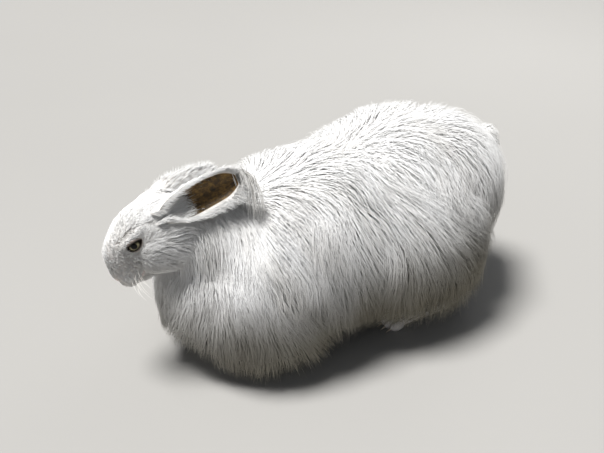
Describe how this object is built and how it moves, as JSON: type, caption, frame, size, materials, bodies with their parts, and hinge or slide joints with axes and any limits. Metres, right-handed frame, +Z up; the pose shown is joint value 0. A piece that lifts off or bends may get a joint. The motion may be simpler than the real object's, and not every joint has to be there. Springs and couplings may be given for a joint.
{
  "type": "angora rabbit",
  "caption": "Life-size still angora rabbit that stands with its head lowered and its ears laid back, in a long silky white coat that hangs almost to the floor.",
  "frame": {"origin": "on the floor, under the middle of the model's box", "axes": "+Z up from the floor, -X the way the rabbit faces, -Y its left side, which is the side seen"},
  "size_m": [0.4682, 0.2394, 0.2203],
  "materials": {
    "coat": "long silky white hair, lightly shaded towards its roots",
    "ear_skin": "dried tan-brown skin inside the ear, with a soft satin shine",
    "eye": "polished and wet-looking, with a dark pupil in a pale ring",
    "claw": "horn, half matte",
    "nose_skin": "soft pinkish skin of the nose, lips and lids"
  },
  "bodies": {
    "root": {"head": "coat", "neck": "coat", "torso": "coat", "tail": "coat", "ear_left": "ear_skin", "ear_right": "ear_skin", "eye_left": "eye", "eye_right": "eye", "foreleg_left": "coat", "foreleg_right": "coat", "hindleg_left": "coat", "hindleg_right": "coat"}
  },
  "joints": []
}
